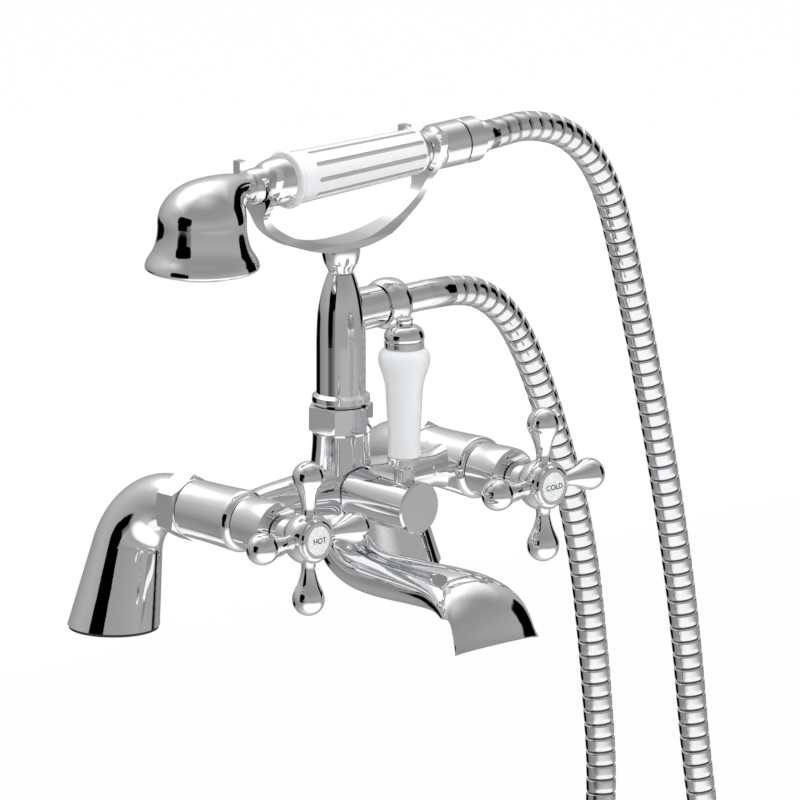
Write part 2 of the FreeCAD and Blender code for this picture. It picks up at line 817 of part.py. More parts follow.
def diverter_bush():
    """Brass gland that carries the diverter's spindle."""
    base = diverter_axis()
    blank = stepped(
        base, FRONT,
        (boss_length - bush_depth, boss_length, bush_r),
        (boss_length, boss_length + bush_nose, bush_nose_r),
    )
    end = boss_length + bush_nose
    blank = blank.cut(rod(base, FRONT, 0, end + 1, spindle_r + running_gap))
    return blank.cut(rod(base, FRONT, end - 3 - diverter_seal_length, end - 3, diverter_seal_r + thread_gap))


def diverter_seal():
    base = diverter_axis()
    end = boss_length + bush_nose - 3
    return tube(
        base, FRONT, end - diverter_seal_length + 0.05, end - 0.05, diverter_seal_r, spindle_r + running_gap
    )


def diverter_spindle():
    """Spool with crossing ports, and the stem that the knob turns."""
    base = diverter_axis()
    blank = stepped(
        base, FRONT,
        (-spool_back, spool_front, spool_r),
        (spool_front, knob_front - 8, spindle_r),
    )
    blank = blank.cut(rod(base, UP, -spool_r - 1, spool_r + 1, 3.6))
    return blank.cut(rod(base, LEFT_RIGHT, -spool_r - 1, spool_r + 1, 3.0))


def lever_foot():
    """Point on the knob's axis under the lever."""
    return diverter_axis() + FRONT * lever_forward


def diverter_knob():
    """Plain round knob, bored from behind, spot-faced on top for the lever."""
    base = diverter_axis()
    blank = turned(
        base, FRONT,
        [(knob_back, knob_r - 2.2), (knob_back + 0.65, knob_r - 0.65), (knob_back + 2.2, knob_r)],
        [(knob_back + 2.2, knob_r), (knob_front - 0.9, knob_r)],
        [(knob_front - 0.9, knob_r), (knob_front, knob_r - 0.9)],
    )
    blank = blank.cut(rod(base, FRONT, knob_back - 1, knob_back + knob_bore, knob_bore_r))
    blank = blank.cut(rod(base, FRONT, knob_back, knob_front - 8, spindle_r + thread_gap))
    foot = lever_foot()
    blank = blank.cut(rod(foot, UP, lever_seat, knob_r + 2, lever_stem_r + thread_gap))
    return blank.cut(rod(foot, UP, 0, lever_seat + 1, lever_shank_r + thread_gap))


def lever_stem():
    """Stem with a collar under the grip and a rod through it."""
    end = lever_collar + lever_collar_length
    rod_end = end + lever_grip_length + lever_cap_ring + 1.5
    collar_edge = 0.7
    return turned(
        lever_foot(), UP,
        [(spindle_r + seat_gap, lever_shank_r), (lever_seat, lever_shank_r)],
        [(lever_seat, lever_shank_r), (lever_seat, lever_stem_r)],
        [(lever_seat, lever_stem_r), (lever_collar - 2, lever_stem_r)],
        [(lever_collar - 2, lever_stem_r), (lever_collar - 1.2, lever_stem_r + 0.4),
         (lever_collar - 0.5, lever_stem_r + 1.6), (lever_collar, lever_collar_r - collar_edge)],
        [(lever_collar, lever_collar_r - collar_edge), (lever_collar + collar_edge, lever_collar_r)],
        [(lever_collar + collar_edge, lever_collar_r), (end - collar_edge, lever_collar_r)],
        [(end - collar_edge, lever_collar_r), (end, lever_collar_r - collar_edge)],
        [(end, lever_collar_r - collar_edge), (end, lever_rod_r)],
        [(end, lever_rod_r), (rod_end, lever_rod_r)],
    )


def lever_grip():
    """Ceramic grip, slim below and swelling to a bulb near its top."""
    start = lever_collar + lever_collar_length
    end = start + lever_grip_length
    blank = turned(
        lever_foot(), UP,
        [(start, 7.9), (start + 0.5, 8.35)],
        [(start + 0.5, 8.35), (start + 9, 8.15), (start + 19, 8.5), (start + 29, 9.0),
         (start + 38.5, 9.95), (start + 44, 11.6), (end - 6.1, lever_bulge_r), (end - 2.4, 12.2),
         (end, 9.75)],
    )
    return blank.cut(rod(lever_foot(), UP, start - 1, end + 1, lever_rod_r + thread_gap))


def lever_cap():
    """Chrome ring, a full dome over a groove and the finial that hold the grip on its rod."""
    start = lever_collar + lever_collar_length + lever_grip_length
    ring = start + lever_cap_ring
    top = ring + lever_dome
    end = top + lever_finial
    r = lever_cap_r
    blank = turned(
        lever_foot(), UP,
        [(start, r - 0.8), (start + 0.8, r)],
        [(start + 0.8, r), (ring - 0.6, r)],
        [(ring - 0.6, r), (ring - 0.1, r - 0.6)],
        [(ring - 0.1, r - 0.6), (ring + 0.4, r - 0.05)],
        [(ring + 0.4, r - 0.05), (ring + 2.4, r + 0.1), (top - 2.8, r - 0.8), (top - 1.1, r - 2.3),
         (top - 0.2, r - 4.2)],
        [(top - 0.2, r - 4.2), (top, lever_finial_r - 0.2)],
        [(top, lever_finial_r - 0.2), (top + 1.5, lever_finial_r - 0.35), (end - 1.1, lever_finial_r)],
        [(end - 1.1, lever_finial_r), (end - 0.3, lever_finial_r - 0.7), (end, lever_finial_r - 1.8)],
    )
    return blank.cut(rod(lever_foot(), UP, start - 1, ring + 1.6, lever_rod_r + thread_gap))


def riser_column():
    """Waisted column with a bead over its nut and the shower outlet on its right."""
    axis = Vector(0, body_y, 0)
    _, _, neck, _ = riser_union()
    foot, top, r = column_foot, column_top, column_r
    column = turned(
        axis, UP,
        [(foot, column_bead_r - 1.2), (foot + 1.6, column_bead_r)],
        [(foot + 1.6, column_bead_r), (foot + 4.4, column_bead_r)],
        [(foot + 4.4, column_bead_r), (foot + 6.0, r)],
        [(foot + 6.0, r), (top - 36, r)],
        [(top - 36, r), (top - 29, r - 0.15), (top - 24, r - 0.4), (top - 19, r - 0.85),
         (top - 14, r - 1.7), (top - 9, r - 2.85), (top - 4, r - 4.4), (top, column_tip_r)],
    )
    outlet = Vector(0, body_y, outlet_height)
    arm = stepped(
        outlet, LEFT_RIGHT,
        (0, arm_length - 0.6, arm_r),
        (arm_length - 0.6, arm_length, arm_r, arm_r - 0.6),
        (arm_length, arm_length + outlet_stub, outlet_stub_r),
    )
    whole = fused(column, arm, neck)
    whole = whole.cut(rod(axis, UP, body_top, outlet_height + 4, column_bore_r - 0.5))
    whole = whole.cut(rod(outlet, LEFT_RIGHT, 0, arm_length + outlet_stub + 1, outlet_bore_r))
    return whole.cut(rod(axis, UP, column_top - stud_below, column_top + 1, stud_r + thread_gap))


def check_valve():
    """Non-return valve pressed in the outlet: a cage with a poppet seat."""
    outlet = Vector(0, body_y, outlet_height)
    start = arm_length + outlet_stub - check_valve_length - 1
    end = start + check_valve_length
    cage = tube(outlet, LEFT_RIGHT, start, end, outlet_bore_r - thread_gap, 4.2)
    seat = tube(outlet, LEFT_RIGHT, start, start + 2, 4.6, 2.2)
    spider = Part.makeBox(1.6, 9.4, 1.6, Vector(end - 1.8, body_y - 4.7, outlet_height - 0.8))
    poppet = stepped(outlet, LEFT_RIGHT, (start + 2, start + 4, 3.4), (start + 4, end - 1, 0.9))
    return fused(cage, seat, spider, poppet)


def outlet_places():
    """Distances along X of the outlet nut, its washer and the hose's ferrule."""
    nut = arm_length + outlet_nut_gap
    stub = arm_length + outlet_stub
    washer = stub + 0.1
    flange = washer + outlet_washer_thickness
    return nut, washer, flange, nut + outlet_nut_length


def outlet_nut():
    """Barrel-shaped nut that holds the hose's ferrule on the outlet."""
    outlet = Vector(0, body_y, outlet_height)
    nut, _, flange, end = outlet_places()
    middle = (nut + end) / 2
    blank = turned(
        outlet, LEFT_RIGHT,
        [(nut, outlet_nut_r - 1.9), (nut + 2.2, outlet_nut_r - 0.5), (middle, outlet_nut_r),
         (end - 3.6, outlet_nut_r - 0.9), (end - 1.2, outlet_nut_r - 2.6), (end, outlet_nut_r - 4.2)],
    )
    blank = blank.cut(rod(outlet, LEFT_RIGHT, nut - 1, flange + ferrule_flange, outlet_stub_r + thread_gap))
    return blank.cut(rod(outlet, LEFT_RIGHT, nut, end + 1, ferrule_r + thread_gap))


def outlet_washer():
    outlet = Vector(0, body_y, outlet_height)
    _, washer, flange, _ = outlet_places()
    return tube(outlet, LEFT_RIGHT, washer, flange, outlet_stub_r - 0.1, outlet_bore_r)


def hose_ferrule():
    """Flanged ferrule from the outlet nut to the hose's lower end."""
    outlet = Vector(0, body_y, outlet_height)
    _, _, flange, _ = outlet_places()
    blank = stepped(
        outlet, LEFT_RIGHT,
        (flange, flange + ferrule_flange, ferrule_flange_r),
        (flange + ferrule_flange, hose_route[0][0], ferrule_r),
    )
    return blank.cut(rod(outlet, LEFT_RIGHT, flange - 1, hose_route[0][0] + 1, hose_bore_r))


def band(outer, inner):
    """Face in the XZ plane between a lower and an upper curve, mirrored about X = 0."""
    edges = []
    for curve in (outer, inner):
        points = [Vector(-x, 0, z) for x, z in reversed(curve[1:])]
        points += [Vector(x, 0, z) for x, z in curve]
        edges.append(edge_through(points))
    for side in (-1, 1):
        (x1, z1), (x2, z2) = outer[-1], inner[-1]
        edges.append(Part.LineSegment(Vector(side * x1, 0, z1), Vector(side * x2, 0, z2)).toShape())
    return Part.Face(Part.Wire(Part.__sortEdges__(edges)))


def cradle_seat():
    """Height of the fork's web, under the handset's waists."""
    return handset_height - collar_seat_r - seat_gap


def strap_side():
    """Seen from the front: a band of even thickness that curves up into the prongs."""
    low, rise = cradle_bottom, cradle_depth
    top = handset_height + prong_rise
    t = strap_thickness
    inside = prong_reach - prong_thickness / 2
    outside = prong_reach + prong_thickness / 2
    upper = [(0, low + t), (0.25 * inside, low + t + 0.02 * rise), (0.39 * inside, low + t + 0.06 * rise),
             (0.54 * inside, low + t + 0.118 * rise), (0.68 * inside, low + t + 0.193 * rise),
             (0.81 * inside, low + t + 0.29 * rise), (0.9 * inside, low + t + 0.377 * rise),
             (0.958 * inside, low + t + 0.464 * rise), (0.987 * inside, low + t + 0.573 * rise),
             (inside, low + t + 0.75 * rise), (inside, top)]
    lower = [(0, low), (0.24 * outside, low + 0.02 * rise), (0.385 * outside, low + 0.063 * rise),
             (0.53 * outside, low + 0.126 * rise), (0.665 * outside, low + 0.204 * rise),
             (0.79 * outside, low + 0.304 * rise), (0.885 * outside, low + 0.405 * rise),
             (0.947 * outside, low + 0.515 * rise), (0.982 * outside, low + 0.65 * rise),
             (outside, low + 0.83 * rise), (outside, top)]
    return band(lower, upper)


def strap_end(x):
    """Seen from the side: the strap narrows to a neck and opens again into the fork."""
    low, rise = cradle_bottom, cradle_depth
    top = handset_height + prong_rise + 1
    half, neck, gap = strap_width / 2, strap_neck_width / 2, prong_gap / 2
    spread = gap + prong_width
    outline = [(half, low - 5), (half, low + strap_thickness)]
    taper = [(half, low + strap_thickness), (half - 1.8, low + 0.165 * rise), (neck + 0.9, low + 0.22 * rise),
             (neck + 0.2, low + 0.3 * rise), (neck, low + 0.48 * rise), (neck + 1.2, low + 0.63 * rise),
             (0.56 * spread, low + 0.76 * rise), (0.78 * spread, low + 0.9 * rise),
             (0.95 * spread, low + 1.04 * rise), (spread, low + 1.12 * rise)]
    prong = [(spread, low + 1.12 * rise), (spread, top), (gap, top), (gap, handset_height + 2.5)]
    saddle_r = collar_seat_r + seat_gap
    diagonal = saddle_r * math.sqrt(0.5)
    edges = []
    for side in (-1, 1):
        for points in (outline, prong):
            for (y1, z1), (y2, z2) in zip(points, points[1:]):
                edges.append(Part.LineSegment(Vector(x, side * y1, z1), Vector(x, side * y2, z2)).toShape())
        edges.append(edge_through([Vector(x, side * y, z) for y, z in taper]))
    saddle = [(-gap, handset_height + 2.5), (-diagonal, handset_height - diagonal), (0, cradle_seat()),
              (diagonal, handset_height - diagonal), (gap, handset_height + 2.5)]
    edges.append(edge_through([Vector(x, y, z) for y, z in saddle]))
    edges.append(Part.LineSegment(Vector(x, -half, low - 5), Vector(x, half, low - 5)).toShape())
    face = Part.Face(Part.Wire(Part.__sortEdges__(edges)))
    face.translate(Vector(0, body_y, 0))
    return face


def cradle():
    """Strap that rises into two forks, with a cup under it that takes the stud."""
    depth = prong_gap + 2 * prong_width + 4
    side_view = strap_side()
    side_view.translate(Vector(0, body_y - depth / 2, 0))
    reach = prong_reach + 20
    strap = side_view.extrude(Vector(0, depth, 0)).common(strap_end(-reach).extrude(Vector(2 * reach, 0, 0)))
    axis = Vector(0, body_y, 0)
    foot, low = column_top + 0.1, cradle_bottom
    cup = turned(
        axis, UP,
        [(foot, cup_foot_r), (foot + 0.12 * cup_height, cup_foot_r + 0.6),
         (foot + 0.23 * cup_height, cup_foot_r + 1.3), (foot + 0.43 * cup_height, cup_r - 1.15),
         (foot + 0.62 * cup_height, cup_r - 0.45), (foot + 0.86 * cup_height, cup_r), (low + 0.4, cup_r)],
        [(low + 0.4, cup_r), (low + 0.5, strap_width / 2 - 1)],
        [(low + 0.5, strap_width / 2 - 1), (low + strap_thickness - 1.5, strap_width / 2 - 2)],
    )
    return strap.fuse(cup).cut(rod(axis, UP, column_top, low - 2, stud_r + thread_gap))


def cradle_stud():
    axis = Vector(0, body_y, 0)
    return rod(axis, UP, column_top - stud_below + 0.5, cradle_bottom - 2.2, stud_r)


def handset_axis():
    return Vector(0, body_y, handset_height)


def crotch():
    """Point under the neck that the bend between neck and barrel fans round."""
    return Vector(neck_end - crotch_inset, body_y, handset_height - crotch_r - elbow_r)


def barrel_r():
    """Radius of the barrel that fills the space between the crotch and the head's far side."""
    return (crotch().x - crotch_r - head_x + head_barrel_r) / 2


def head_elbow(inset):
    """Bend from the neck down to the barrel: circles that grow as they fan round the crotch."""
    rings = []
    for angle, share in ((0, 0.0), (22.5, 0.11), (45, 0.37), (60, 0.655), (75, 0.9), (90, 1.0)):
        turn = math.radians(angle)
        radius = elbow_r + share * (barrel_r() - elbow_r)
        away = Vector(-math.sin(turn), 0, math.cos(turn))
        rings.append((crotch() + away * (crotch_r + radius), BACK, away, radius - inset))
    return skinned(rings)


def handset_head():
    """Bell on a smooth bend, hollow, with a post inside that the rose is screwed to."""
    axis = Vector(head_x, body_y, 0)
    low, flare, bend, r = rim_height, flare_height, crotch().z, barrel_r()
    middle = Vector(crotch().x - crotch_r - r, body_y, 0)
    bell = turned(
        middle, UP,
        [(low, rim_r - 0.9), (low + 0.5, rim_r - 0.25), (low + 1.6, rim_r + 0.1)],
        [(low + 1.6, rim_r + 0.1), (low + 0.24 * flare, rim_r - 0.9), (low + 0.47 * flare, rim_r - 3.6),
         (low + 0.71 * flare, r + 1.0), (low + flare, r + 0.1), (bend, r)],
    )
    neck = stepped(
        handset_axis(), LEFT_RIGHT,
        (crotch().x, neck_end - 1, elbow_r, neck_r),
        (neck_end - 1, neck_end, neck_r, neck_r - 0.2),
    )
    outer = fused(bell, head_elbow(0.0), neck)
    inside = turned(
        middle, UP,
        [(low + 3.4, rim_r - 3.4), (low + 0.47 * flare, rim_r - 6.0), (low + 0.71 * flare, r - 1.4),
         (low + flare, r - head_wall), (bend, r - head_wall)],
    )
    head = outer.cut(inside.fuse(head_elbow(head_wall)))
    head = head.cut(rod(axis, UP, low - 1, low + 3.5, rose_r + thread_gap))
    head = head.fuse(rod(axis, UP, rose_post_bottom, handset_height + 30, rose_post_r).common(outer))
    bore = rod(handset_axis(), LEFT_RIGHT, crotch().x - 1, neck_end + 1, tube_bore_r)
    socket = rod(handset_axis(), LEFT_RIGHT, neck_end - tube_in_neck, neck_end + 1, tube_r + thread_gap)
    screw_hole = rod(axis, UP, rose_post_bottom - 1, rose_post_bottom + 8, rose_shank_r + thread_gap)
    return head.cut([bore, socket, screw_hole])


def rose_plate():
    """Spray plate: slightly domed, with rings of holes and a seat for its screw."""
    axis = Vector(head_x, body_y, 0)
    top = rim_height + 3.4
    plate = turned(
        axis, UP,
        [(rim_height - rose_dome, 0), (rim_height - rose_dome + 0.15, rose_r * 0.35),
         (rim_height - rose_dome + 0.6, rose_r * 0.7), (rim_height + 0.3, rose_r)],
        [(rim_height + 0.3, rose_r), (top, rose_r)],
        [(top, rose_r), (top, rose_r - 3)],
        [(top, rose_r - 3), (rim_height + rose_thickness - 0.6, rose_r - 3)],
        [(rim_height + rose_thickness - 0.6, rose_r - 3), (rim_height + rose_thickness - rose_dome, 0)],
    )
    boss = rod(axis, UP, rim_height - rose_dome + 1, rose_post_bottom, rose_post_r)
    plate = plate.fuse(boss)
    holes = []
    for ring_r, count in rose_rings:
        for i in range(count):
            angle = 2 * math.pi * i / count
            place = axis + Vector(ring_r * math.cos(angle), ring_r * math.sin(angle), 0)
            holes.append(rod(place, UP, rim_height - 4, rim_height + 6, rose_hole_r))
    plate = plate.cut(holes)
    return plate.cut(rod(axis, UP, rim_height - 4, rose_post_bottom + 1, rose_shank_r + running_gap))


def rose_screw():
    axis = Vector(head_x, body_y, 0)
    seat = rim_height - rose_dome - 0.02
    tip = rose_post_bottom + 7
    screw = turned(
        axis, UP,
        [(seat - rose_screw_head, rose_screw_r - 1.9), (seat - rose_screw_head + 0.6, rose_screw_r - 0.6),
         (seat - 0.4, rose_screw_r)],
        [(seat - 0.4, rose_screw_r), (seat, rose_screw_r)],
        [(seat, rose_screw_r), (seat, rose_shank_r)],
        [(seat, rose_shank_r), (tip, rose_shank_r)],
    )
    slot = Part.makeBox(8, 1.0, 1.2, Vector(head_x - 4, body_y - 0.5, seat - rose_screw_head - 0.4))
    return screw.cut(slot)


def grip_collar():
    """Chrome bell between the neck and the ceramic; its waist lies in the left fork."""
    x = neck_end + 0.02
    blank = turned(
        handset_axis(), LEFT_RIGHT,
        [(x, neck_r - 0.2), (x + 1.2, 8.5), (x + 3, 9.0), (-prong_reach, collar_seat_r),
         (-prong_reach + 2.5, collar_seat_r + 0.15), (-prong_reach + 5.2, 10.7), (-prong_reach + 9, 11.8),
         (grip_start - 3, collar_end_r), (grip_start, collar_end_r - 0.2)],
    )
    return blank.cut(rod(handset_axis(), LEFT_RIGHT, x - 1, grip_start + 1, tube_r + thread_gap))


def handset_grip():
    """Ceramic grip that tapers to the right, with a flange and long round-ended grooves."""
    axis = handset_axis()
    shaft = grip_start + 3.4
    blank = turned(
        axis, LEFT_RIGHT,
        [(grip_start, grip_flange_r - 1.2), (grip_start + 0.4, grip_flange_r - 0.3),
         (grip_start + 1.3, grip_flange_r), (grip_start + 2.4, grip_flange_r - 0.5), (shaft, grip_big_r)],
        [(shaft, grip_big_r), (grip_end - 0.6, grip_small_r)],
        [(grip_end - 0.6, grip_small_r), (grip_end, grip_small_r - 0.6)],
    )
    taper = (grip_big_r - grip_small_r) / (grip_end - 0.6 - shaft)
    start_r = grip_big_r - taper * (groove_start - shaft)
    end_x = grip_end - groove_margin
    end_r = grip_big_r - taper * (end_x - shaft)
    grooves = []
    for i in range(grip_grooves):
        angle = 2 * math.pi * (i + 0.5) / grip_grooves
        away = Vector(0, math.sin(angle), math.cos(angle))
        start = axis + LEFT_RIGHT * groove_start + away * (start_r + 0.35)
        end = axis + LEFT_RIGHT * end_x + away * (end_r + 0.35)
        along = end - start
        grooves.append(Part.makeCylinder(groove_r, along.Length, start, along))
        grooves.append(Part.makeSphere(groove_r, start))
        grooves.append(Part.makeSphere(groove_r, end))
    blank = blank.cut(grooves)
    return blank.cut(rod(axis, LEFT_RIGHT, grip_start - 1, grip_end + 1, tube_r + thread_gap))


def grip_tube():
    """Brass water tube that ties the head, the grip and the fitting together."""
    start = neck_end - tube_in_neck + 0.3
    return tube(handset_axis(), LEFT_RIGHT, start, fitting_waist + 4, tube_r, tube_bore_r)


def rear_fitting():
    """Chrome fitting behind the grip: a waist for the right fork, a sleeve and a thread."""
    axis = handset_axis()
    start = grip_end
    blank = turned(
        axis, LEFT_RIGHT,
        [(start, grip_small_r - 0.8), (start + 0.8, grip_small_r - 0.3)],
        [(start + 0.8, grip_small_r - 0.3), (start + 2.4, 10.6), (fitting_waist - 2, 9.6),
         (fitting_waist, collar_seat_r)],
        [(fitting_waist, collar_seat_r), (fitting_waist_end, collar_seat_r)],
        [(fitting_waist_end, collar_seat_r), (fitting_waist_end + 1.4, 10.0), (fitting_shoulder, fitting_r)],
        [(fitting_shoulder, fitting_r), (fitting_end - 0.5, fitting_r)],
        [(fitting_end - 0.5, fitting_r), (fitting_end, fitting_r - 0.5)],
        [(fitting_end, fitting_r - 0.5), (fitting_end, fitting_thread_r)],
        [(fitting_end, fitting_thread_r), (fitting_end + fitting_thread, fitting_thread_r)],
    )
    blank = blank.cut(rod(axis, LEFT_RIGHT, start - 1, fitting_waist + 4.2, tube_r + thread_gap))
    return blank.cut(rod(axis, LEFT_RIGHT, fitting_waist, fitting_end + fitting_thread + 1, tube_bore_r))


def hose_end_places():
    """Distances along X of the hose nut, the washer and the hose collar's flange."""
    washer = fitting_end + fitting_thread + 0.1
    flange = washer + outlet_washer_thickness
    return fitting_end + hose_nut_gap, washer, flange


def hose_nut():
    axis = handset_axis()
    start, _, flange = hose_end_places()
    end = hose_nut_end
    blank = turned(
        axis, LEFT_RIGHT,
        [(start, fitting_r - 0.5), (start + 0.5, fitting_r)],
        [(start + 0.5, fitting_r), (end - hose_nut_chamfer, fitting_r)],
        [(end - hose_nut_chamfer, fitting_r), (end, fitting_r - hose_nut_chamfer)],
    )
    blank = blank.cut(rod(axis, LEFT_RIGHT, start - 1, flange + ferrule_flange, fitting_thread_r + thread_gap))
    return blank.cut(rod(axis, LEFT_RIGHT, start, end + 1, collar_neck_r + thread_gap))


def hose_washer():
    _, washer, flange = hose_end_places()
    return tube(handset_axis(), LEFT_RIGHT, washer, flange, fitting_thread_r - 0.1, tube_bore_r + 0.6)


def hose_collar():
    """Flanged collar crimped on the hose's upper end, with a bead outside the nut."""
    axis = handset_axis()
    _, _, flange = hose_end_places()
    end = hose_route[-1][0] - hose_end_gap
    bead = hose_nut_end + 0.2
    blank = stepped(
        axis, LEFT_RIGHT,
        (flange, flange + ferrule_flange, collar_flange_r),
        (flange + ferrule_flange, bead, collar_neck_r),
        (bead, end, collar_neck_r + 1.2),
    )
    return blank.cut(rod(axis, LEFT_RIGHT, flange - 1, end + 1, hose_bore_r))


def route_pieces():
    """Straight runs joined by tangent arcs: (length, function from distance to place and direction)."""
    points = [Vector(x, body_y, z) for x, z in hose_route]
    runs = [(b - a).Length for a, b in zip(points, points[1:])]
    ways = [(b - a).normalize() for a, b in zip(points, points[1:])]
    pieces, radii = [], []
    here = points[0]
    for i in range(1, len(points) - 1):
        turn = ways[i - 1].getAngle(ways[i])
        cut = 0.45 * min(runs[i - 1], runs[i])
        radius = cut / math.tan(turn / 2)
        radii.append(radius)
        start = points[i] - ways[i - 1] * cut
        pieces.append(((start - here).Length, straight(here, ways[i - 1])))
        pieces.append((radius * turn, bend(start, ways[i - 1], ways[i], radius)))
        here = points[i] + ways[i] * cut
    pieces.append(((points[-1] - here).Length, straight(here, ways[-1])))
    return pieces, radii


def straight(start, way):
    return lambda s: (start + way * s, way)


def bend(start, way, next_way, radius):
    inward = (next_way - way * way.dot(next_way)).normalize()

    def place(s):
        angle = s / radius
        forward = way * math.cos(angle) + inward * math.sin(angle)
        return start + (way * math.sin(angle) + inward * (1 - math.cos(angle))) * radius, forward

    return place


def place_at(pieces, distance):
    """Place and direction at a distance along the route."""
    for length, place in pieces[:-1]:
        if distance <= length:
            return place(distance)
        distance -= length
    return pieces[-1][1](distance)


def shower_hose():
    """Hose with its bore: ruled rings from end to end, smooth cuffs and then the ribs."""
    pieces, radii = route_pieces()
    total = sum(length for length, _ in pieces)
    pitch = (total - hose_lower_cuff - hose_upper_cuff) / hose_ribs
    stations = [(0.0, ferrule_r)]
    for i in range(hose_ribs):
        start = hose_lower_cuff + i * pitch
        stations.append((start, hose_groove_r))
        stations.append((start + 0.12 * pitch, hose_r))
        stations.append((start + 0.5 * pitch, hose_r))
        stations.append((start + 0.88 * pitch, hose_r))
    stations[1] = (hose_lower_cuff, hose_r)
    stations.append((total - hose_upper_cuff, hose_groove_r))
    stations.append((total - hose_upper_cuff + 0.5, hose_r))
    stations.append((total, hose_r))
    steady = Vector(0, 1, 0)

    def rings(spots):
        wires = []
        for distance, radius in spots:
            place, direction = place_at(pieces, distance)
            wires.append(ring_at(place, direction, steady, radius, radius))
        return wires

    outer = rings(stations)
    bore_count = hose_ribs
    inner = rings([(total * i / bore_count, hose_bore_r) for i in range(bore_count + 1)])
    faces = Part.makeLoft(outer, False, True).Faces + Part.makeLoft(inner, False, True).Faces
    for i in (0, -1):
        faces.append(Part.Face(outer[i]).cut(Part.Face(inner[i])).Faces[0])
    shell = Part.Shell(faces)
    hose = Part.Solid(shell)
    if hose.Volume < 0:
        hose.reverse()
    print("hose length", round(total, 1), "rib pitch", round(pitch, 2))
    print("bend radii", [round(radius, 1) for radius in radii])
    tube_volume = math.pi * (hose_r ** 2 - hose_bore_r ** 2) * total
    print("hose volume", round(hose.Volume), "plain tube", round(tube_volume))
    return hose


def union_washers():
    washers = [leg_union(sign)[1] for _, sign in sides]
    washers.append(riser_union()[1])
    return Part.makeCompound(washers)


def parts():
    """Every piece under its node's name."""
    made = {
        "mixer_body": mixer_body(),
        "spout": spout(),
        "spout_seal": spout_seal(),
        "union_washers": union_washers(),
        "base_gaskets": both_sides(base_gasket),
        "backnut_washers": both_sides(backnut_washer),
        "valve_seat_seals": both_sides(seat_seal),
        "diverter_bush": diverter_bush(),
        "diverter_seal": diverter_seal(),
        "diverter_knob": diverter_knob(),
        "diverter_spindle": diverter_spindle(),
        "lever_stem": lever_stem(),
        "lever_grip": lever_grip(),
        "lever_cap": lever_cap(),
        "riser_column": riser_column(),
        "riser_nut": riser_union()[3],
        "cradle": cradle(),
        "cradle_stud": cradle_stud(),
        "check_valve": check_valve(),
        "outlet_nut": outlet_nut(),
        "outlet_washer": outlet_washer(),
        "hose_ferrule": hose_ferrule(),
        "shower_hose": shower_hose(),
        "handset_head": handset_head(),
        "rose_plate": rose_plate(),
        "rose_screw": rose_screw(),
        "grip_collar": grip_collar(),
        "handset_grip": handset_grip(),
        "grip_tube": grip_tube(),
        "rear_fitting": rear_fitting(),
        "hose_nut": hose_nut(),
        "hose_washer": hose_washer(),
        "hose_collar": hose_collar(),
    }
    per_side = {
        "leg": leg,
        "leg_nut": lambda sign: leg_union(sign)[3],
        "inlet_tail": inlet_tail,
        "backnut": backnut,
        "fixed_disc": fixed_disc,
        "turning_disc": turning_disc,
        "spindle": spindle,
        "cartridge": cartridge,
        "shroud": shroud,
        "handle": crosshead,
        "handle_screw": handle_screw,
        "index_ring": index_ring,
        "index_disc": index_disc,
    }
    for name, make in per_side.items():
        for side, sign in sides:
            made[f"{side}_{name}"] = make(sign)
    return made


os.makedirs("parts", exist_ok=True)
for node, shape in parts().items():
    if not shape.isValid() or shape.Volume <= 0:
        print("unsound:", node, round(shape.Volume, 1))
    shape.exportStep(f"parts/{node}.step")
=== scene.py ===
import json
import math

import bpy
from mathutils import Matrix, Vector


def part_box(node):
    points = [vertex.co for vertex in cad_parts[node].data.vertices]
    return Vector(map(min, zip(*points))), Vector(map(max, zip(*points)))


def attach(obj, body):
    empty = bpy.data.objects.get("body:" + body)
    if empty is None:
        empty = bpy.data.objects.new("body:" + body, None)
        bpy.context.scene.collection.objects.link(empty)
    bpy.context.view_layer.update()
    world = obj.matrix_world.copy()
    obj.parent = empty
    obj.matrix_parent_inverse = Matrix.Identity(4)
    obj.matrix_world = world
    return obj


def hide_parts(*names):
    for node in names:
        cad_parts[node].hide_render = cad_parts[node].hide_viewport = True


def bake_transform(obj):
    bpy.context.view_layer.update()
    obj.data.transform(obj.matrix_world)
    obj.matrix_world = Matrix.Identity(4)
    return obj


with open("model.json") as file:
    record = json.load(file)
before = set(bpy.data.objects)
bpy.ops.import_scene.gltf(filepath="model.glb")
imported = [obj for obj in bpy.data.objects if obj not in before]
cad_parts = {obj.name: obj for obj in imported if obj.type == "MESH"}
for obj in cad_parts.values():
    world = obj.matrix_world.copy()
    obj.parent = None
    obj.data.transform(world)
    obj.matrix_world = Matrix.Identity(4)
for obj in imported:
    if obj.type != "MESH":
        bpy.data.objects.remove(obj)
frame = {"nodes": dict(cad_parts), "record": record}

MM = 0.001
scene = bpy.context.scene
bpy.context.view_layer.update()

# The upright plane of the column, the handset and the hose
body_y = -0.0635


# Camera: a long lens at the photograph's angle, aimed between the body and the hose

photo_size = 800
azimuth, elevation = math.radians(-43.0), math.radians(14.1)
camera_distance = 17.0
camera_sensor = 36.0
pixels_per_metre = 2000.0
view_end = 80.0
target = Vector((0.0403, body_y, 0.1049))


def add_camera():
    camera = bpy.data.cameras.new("camera")
    camera.type = "PERSP"
    camera.sensor_width = camera_sensor
    camera.lens = camera_sensor * pixels_per_metre * camera_distance / photo_size
    camera.clip_end = view_end
    holder = bpy.data.objects.new("camera", camera)
    scene.collection.objects.link(holder)
    away = Vector((
        math.sin(azimuth) * math.cos(elevation),
        -math.cos(azimuth) * math.cos(elevation),
        math.sin(elevation),
    ))
    holder.location = target + away * camera_distance
    holder.rotation_euler = (-away).to_track_quat("-Z", "Y").to_euler()
    scene.camera = holder


# Meshes

